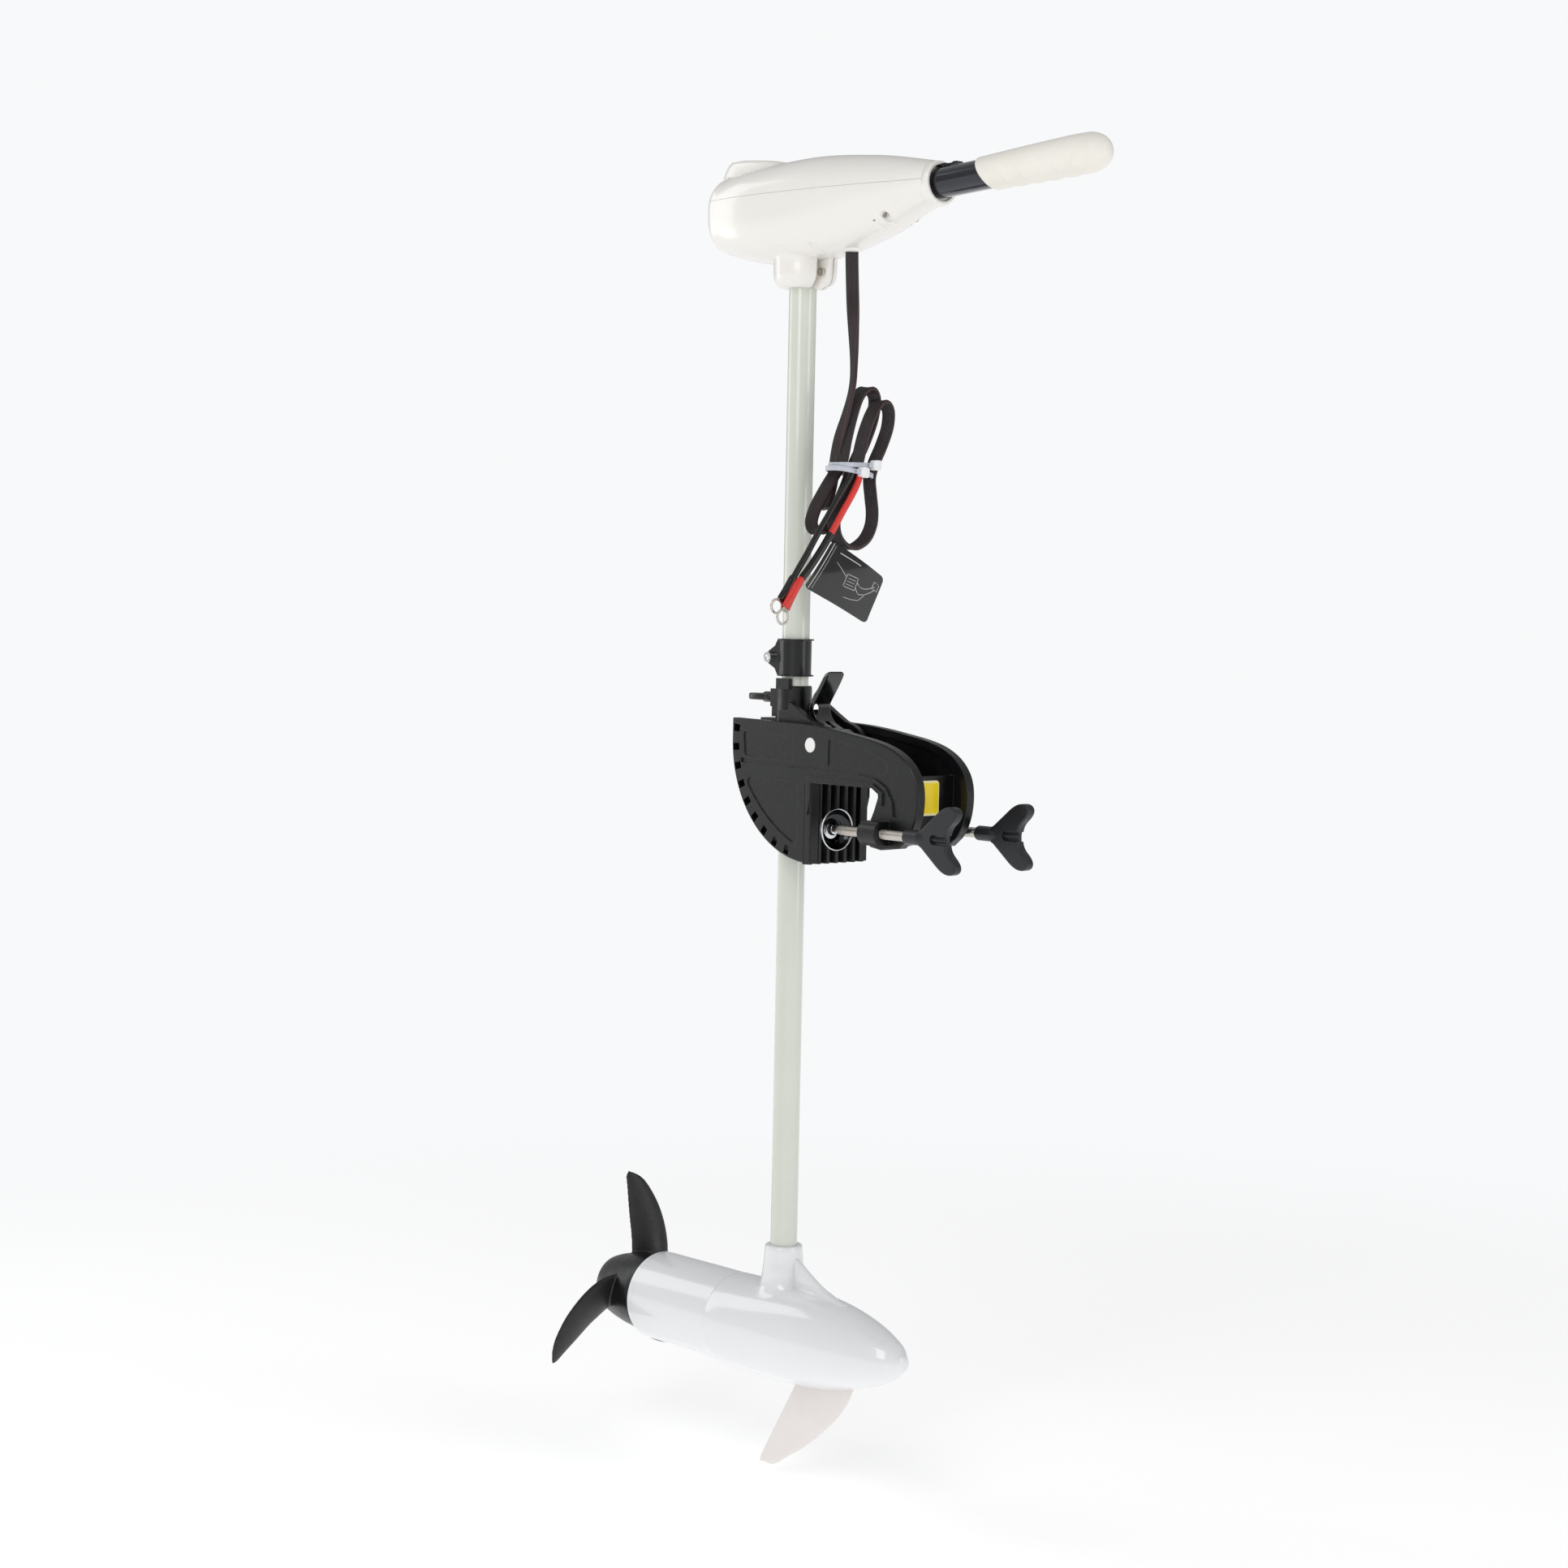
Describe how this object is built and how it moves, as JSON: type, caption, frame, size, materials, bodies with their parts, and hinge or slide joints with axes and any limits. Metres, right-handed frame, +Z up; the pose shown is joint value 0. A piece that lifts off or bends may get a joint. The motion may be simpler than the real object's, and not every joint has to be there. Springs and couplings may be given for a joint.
{
  "type": "trolling motor",
  "caption": "Transom-mount electric trolling motor with twist tiller head, fibreglass shaft, tilting clamp bracket, coiled battery cable and finned lower unit with propeller.",
  "frame": {"origin": "middle of the transom seat, the underside of the clamp hook", "axes": "+X forward into the boat along the tiller, +Y to port, +Z up along the shaft"},
  "size_m": [0.6387, 0.2093, 1.2588],
  "materials": {
    "bracket_black": "glass-filled moulded nylon, fine grain, satin",
    "pin_white": "white acetal, satin",
    "insert_brass": "machined",
    "label_yellow": "blank yellow film label with a light border",
    "chrome": "polished plated steel",
    "screw_steel": "rolled bright steel rod",
    "handle_black": "satin moulded nylon",
    "lever_gloss": "glossy moulded nylon",
    "collar_black": "satin moulded nylon",
    "fibreglass": "pultruded fibreglass, pale sage white, clear gloss",
    "white_paint": "gloss white enamel",
    "white_plastic": "gloss off-white ABS",
    "skeg_white": "satin white nylon with a warm cast",
    "prop_black": "satin glass-filled nylon",
    "motor_steel": "turned steel",
    "magnet_grey": "ferrite",
    "copper": "enamelled copper winding",
    "core_steel": "laminated silicon steel",
    "carbon": "carbon",
    "rubber_black": "moulded rubber",
    "bush_white": "acetal",
    "board_green": "circuit board laminate",
    "lens_dark": "tinted clear plastic",
    "tube_anodised": "black anodised, glossy",
    "grip_white": "soft white moulded rubber",
    "cable_black": "flat ribbed cable jacket with dark red lines",
    "tie_grey": "pale grey nylon",
    "lead_red": "red heat-shrink and wire jacket",
    "lead_black": "black wire jacket",
    "tag_black": "laminated black tag with light hairlines"
  },
  "bodies": {
    "clamp_bracket": {"transom_bracket": "bracket_black", "tilt_pivot_pin": "pin_white", "screw_inserts": "insert_brass", "blank_label": "label_yellow"},
    "pad_right": {"clamp_pad_right": "chrome"},
    "pad_left": {"clamp_pad_left": "chrome"},
    "screw_right": {"clamp_screw_right": "screw_steel", "clamp_handle_right": "handle_black"},
    "screw_left": {"clamp_screw_left": "screw_steel", "clamp_handle_left": "handle_black"},
    "tilt_bracket": {"swivel_bracket": "bracket_black", "pivot_bushes": "bush_white", "steering_bushes": "bush_white"},
    "lever": {"tilt_lever": "lever_gloss"},
    "lock": {"lock_bar": "screw_steel", "release_link": "motor_steel"},
    "knob": {"tension_knob": "collar_black", "tension_screw": "screw_steel"},
    "collar": {"depth_collar": "collar_black", "collar_bolt": "chrome", "collar_nut": "chrome"},
    "motor": {"shaft": "fibreglass", "motor_leads": "lead_black", "motor_tube": "white_paint", "rear_end_cap": "white_paint", "nose_housing": "white_paint", "skeg": "skeg_white", "magnets": "magnet_grey", "motor_bearings": "motor_steel", "motor_seals": "rubber_black", "through_bolts": "screw_steel", "brush_plate": "carbon", "brushes": "carbon", "brush_springs": "motor_steel", "head_lower_cover": "white_plastic", "head_upper_cover": "white_plastic", "meter_lens": "lens_dark", "meter_board": "board_green", "head_screws": "screw_steel", "nose_ring": "white_plastic", "speed_switch": "carbon", "cable_gland": "white_plastic", "power_cable": "cable_black", "cable_ties": "tie_grey", "battery_lead_black": "lead_black", "battery_lead_red": "lead_red", "ring_terminals": "chrome", "cable_tag": "tag_black"},
    "rotor": {"propeller": "prop_black", "prop_nut": "screw_steel", "drive_pin": "screw_steel", "armature_shaft": "motor_steel", "armature_core": "core_steel", "armature_windings": "copper", "commutator": "copper"},
    "twist": {"twist_sleeve": "bush_white", "switch_rotor": "carbon", "extension_latch": "tube_anodised"},
    "tiller": {"tiller_tube": "tube_anodised", "tiller_grip": "grip_white"}
  },
  "joints": [
    {"name": "pad_right_slide", "type": "slide", "parent": "clamp_bracket", "child": "pad_right", "axis": [-1, 0, 0], "range_m": [-0.016, 0.02]},
    {"name": "screw_right_turn", "type": "hinge", "parent": "pad_right", "child": "screw_right", "pos_m": [0, -0.046, -0.04], "axis": [-1, 0, 0], "range_deg": [-2160, 2736]},
    {"name": "pad_left_slide", "type": "slide", "parent": "clamp_bracket", "child": "pad_left", "axis": [-1, 0, 0], "range_m": [-0.016, 0.02]},
    {"name": "screw_left_turn", "type": "hinge", "parent": "pad_left", "child": "screw_left", "pos_m": [0, 0.046, -0.04], "axis": [-1, 0, 0], "range_deg": [-2160, 2736]},
    {"name": "tilt", "type": "hinge", "parent": "clamp_bracket", "child": "tilt_bracket", "pos_m": [-0.0456, 0, 0.035], "axis": [0, 1, 0], "range_deg": [0, 79.6]},
    {"name": "lever_pull", "type": "hinge", "parent": "tilt_bracket", "child": "lever", "pos_m": [-0.0456, 0, 0.035], "axis": [0, -1, 0], "range_deg": [0, 20]},
    {"name": "lock_bar_slide", "type": "slide", "parent": "tilt_bracket", "child": "lock", "axis": [-0.289, 0, -0.9573], "range_m": [0, 0.0081]},
    {"name": "tension_turn", "type": "hinge", "parent": "tilt_bracket", "child": "knob", "pos_m": [-0.145, 0, 0.076], "axis": [1, 0, 0], "range_deg": [-180, 180]},
    {"name": "steer", "type": "hinge", "parent": "tilt_bracket", "child": "collar", "pos_m": [-0.109, 0, 0], "axis": [0, 0, 1], "continuous": true},
    {"name": "depth", "type": "slide", "parent": "collar", "child": "motor", "axis": [0, 0, 1], "range_m": [-0.02, 0.33]},
    {"name": "prop_spin", "type": "hinge", "parent": "motor", "child": "rotor", "pos_m": [-0.109, 0, -0.535], "axis": [1, 0, 0], "continuous": true},
    {"name": "throttle_twist", "type": "hinge", "parent": "motor", "child": "twist", "pos_m": [0.073, 0, 0.5465], "axis": [0.9984, 0, 0.0558], "range_deg": [-60, 60]},
    {"name": "tiller_extend", "type": "slide", "parent": "twist", "child": "tiller", "axis": [0.9984, 0, 0.0558], "range_m": [-0.015, 0.11]}
  ],
  "couplings": [
    {"joint": "pad_right_slide", "follows": "screw_right_turn", "m_per_rad": 0.00039789},
    {"joint": "pad_left_slide", "follows": "screw_left_turn", "m_per_rad": 0.00039789},
    {"joint": "lock_bar_slide", "follows": "lever_pull", "m_per_rad": 0.022918}
  ]
}
